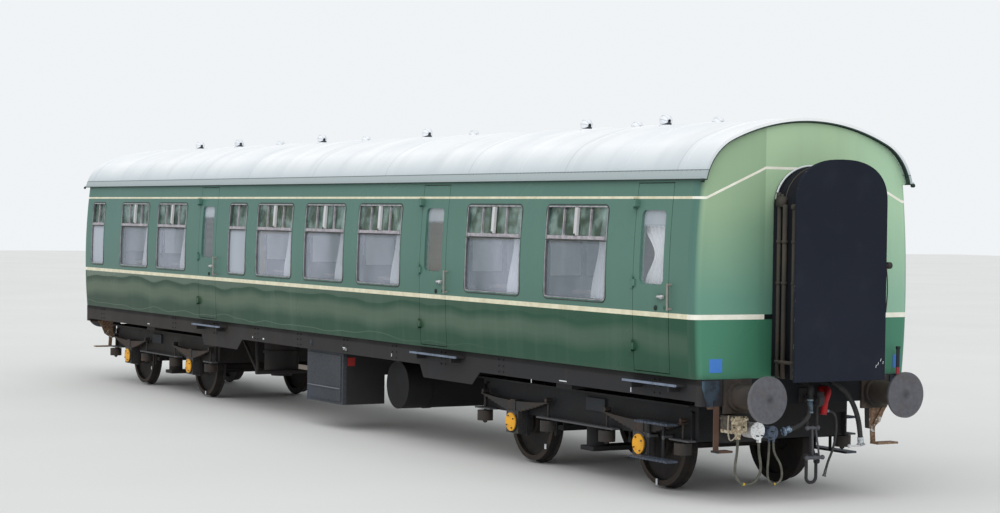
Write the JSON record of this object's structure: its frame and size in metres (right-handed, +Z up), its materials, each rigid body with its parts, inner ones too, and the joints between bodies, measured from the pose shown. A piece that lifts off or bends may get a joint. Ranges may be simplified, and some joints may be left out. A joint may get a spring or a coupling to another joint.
{
  "type": "railway passenger coach",
  "caption": "Bogie passenger coach with slam doors, sliding-vent windows, gangway ends, buffers and interior seats.",
  "frame": {"origin": "under the middle of the coach, at the lowest point of the wheel flanges", "axes": "+X along the coach towards its near gangway end, +Y to the right side, +Z up"},
  "size_m": [18.6, 2.9, 3.9623],
  "materials": {
    "body_paint": "glossy, weathered",
    "roof_paint": "matt, weathered",
    "window_alloy": "satin",
    "glazing": "clear",
    "floor_board": "worn",
    "panelling": "varnished",
    "upholstery": "woven",
    "seat_frame": "satin",
    "table_top": "satin",
    "underframe_paint": "matt, dusty",
    "bogie_paint": "matt, dusty",
    "spring_steel": "brown, rusty",
    "wheel_steel": "brown, worn bright on the tread",
    "axlebox_iron": "yellow covers",
    "buffer_steel": "greased",
    "gangway_black": "matt, chipped",
    "gangway_fabric": "matt",
    "coupling_steel": "worn",
    "handrail_steel": "satin",
    "vent_metal": "white",
    "bracket_paint": "rusty",
    "socket_metal": "worn",
    "cable_rubber": "matt"
  },
  "bodies": {
    "coach": {"body_side_left": "body_paint", "body_side_right": "body_paint", "body_end_near": "body_paint", "body_end_far": "body_paint", "roof": "roof_paint", "roof_vents": "vent_metal", "floor": "floor_board", "solebars": "underframe_paint", "headstocks": "underframe_paint", "cross_members": "underframe_paint", "window_frames": "window_alloy", "window_glass": "glazing", "gangways": "gangway_fabric", "gangway_plates": "gangway_black", "buffer_housings": "underframe_paint", "buffer_heads": "buffer_steel", "drawgear": "coupling_steel", "step_boards": "underframe_paint", "corner_brackets": "bracket_paint", "handrails": "handrail_steel", "underframe_gear": "underframe_paint", "end_fittings": "socket_metal", "hose_heads": "socket_metal", "jumper_cable_left": "cable_rubber", "jumper_cable_right": "cable_rubber", "vacuum_hose": "cable_rubber", "air_hose": "cable_rubber", "steam_hose": "cable_rubber", "partitions": "panelling", "seat_cushions": "upholstery", "seat_frames": "seat_frame", "tables": "table_top"},
    "door_left_near": {"door_left_near": "body_paint", "door_glass_left_near": "glazing"},
    "door_left_middle": {"door_left_middle": "body_paint", "door_glass_left_middle": "glazing"},
    "door_left_far": {"door_left_far": "body_paint", "door_glass_left_far": "glazing"},
    "door_right_near": {"door_right_near": "body_paint", "door_glass_right_near": "glazing"},
    "door_right_middle": {"door_right_middle": "body_paint", "door_glass_right_middle": "glazing"},
    "door_right_far": {"door_right_far": "body_paint", "door_glass_right_far": "glazing"},
    "bogie_near": {"bogie_frame_near": "bogie_paint", "leaf_springs_near": "spring_steel", "axleboxes_near": "axlebox_iron", "brake_gear_near": "bogie_paint"},
    "wheelset_near_inner": {"axle_near_inner": "wheel_steel", "wheels_near_inner": "wheel_steel"},
    "wheelset_near_outer": {"axle_near_outer": "wheel_steel", "wheels_near_outer": "wheel_steel"},
    "bogie_far": {"bogie_frame_far": "bogie_paint", "leaf_springs_far": "spring_steel", "axleboxes_far": "axlebox_iron", "brake_gear_far": "bogie_paint"},
    "wheelset_far_inner": {"axle_far_inner": "wheel_steel", "wheels_far_inner": "wheel_steel"},
    "wheelset_far_outer": {"axle_far_outer": "wheel_steel", "wheels_far_outer": "wheel_steel"}
  },
  "joints": [
    {"name": "bogie_near_swivel", "type": "hinge", "parent": "coach", "child": "bogie_near", "pos_m": [6.096, 0, 0.968], "axis": [0, 0, 1], "range_deg": [-4, 4]},
    {"name": "wheelset_near_inner_roll", "type": "hinge", "parent": "bogie_near", "child": "wheelset_near_inner", "pos_m": [4.8005, 0, 0.485], "axis": [0, 1, 0], "continuous": true},
    {"name": "wheelset_near_outer_roll", "type": "hinge", "parent": "bogie_near", "child": "wheelset_near_outer", "pos_m": [7.3915, 0, 0.485], "axis": [0, 1, 0], "continuous": true},
    {"name": "bogie_far_swivel", "type": "hinge", "parent": "coach", "child": "bogie_far", "pos_m": [-6.096, 0, 0.968], "axis": [0, 0, 1], "range_deg": [-4, 4]},
    {"name": "wheelset_far_inner_roll", "type": "hinge", "parent": "bogie_far", "child": "wheelset_far_inner", "pos_m": [-4.8005, 0, 0.485], "axis": [0, 1, 0], "continuous": true},
    {"name": "wheelset_far_outer_roll", "type": "hinge", "parent": "bogie_far", "child": "wheelset_far_outer", "pos_m": [-7.3915, 0, 0.485], "axis": [0, 1, 0], "continuous": true},
    {"name": "door_left_near_swing", "type": "hinge", "parent": "coach", "child": "door_left_near", "pos_m": [7.65, -1.392, 2.228], "axis": [0, 0, -1], "range_deg": [0, 90]},
    {"name": "door_left_middle_swing", "type": "hinge", "parent": "coach", "child": "door_left_middle", "pos_m": [3.07, -1.392, 2.228], "axis": [0, 0, -1], "range_deg": [0, 90]},
    {"name": "door_left_far_swing", "type": "hinge", "parent": "coach", "child": "door_left_far", "pos_m": [-3.8, -1.392, 2.228], "axis": [0, 0, -1], "range_deg": [0, 90]},
    {"name": "door_right_near_swing", "type": "hinge", "parent": "coach", "child": "door_right_near", "pos_m": [7.65, 1.392, 2.228], "axis": [0, 0, 1], "range_deg": [0, 90]},
    {"name": "door_right_middle_swing", "type": "hinge", "parent": "coach", "child": "door_right_middle", "pos_m": [3.07, 1.392, 2.228], "axis": [0, 0, 1], "range_deg": [0, 90]},
    {"name": "door_right_far_swing", "type": "hinge", "parent": "coach", "child": "door_right_far", "pos_m": [-3.8, 1.392, 2.228], "axis": [0, 0, 1], "range_deg": [0, 90]}
  ]
}
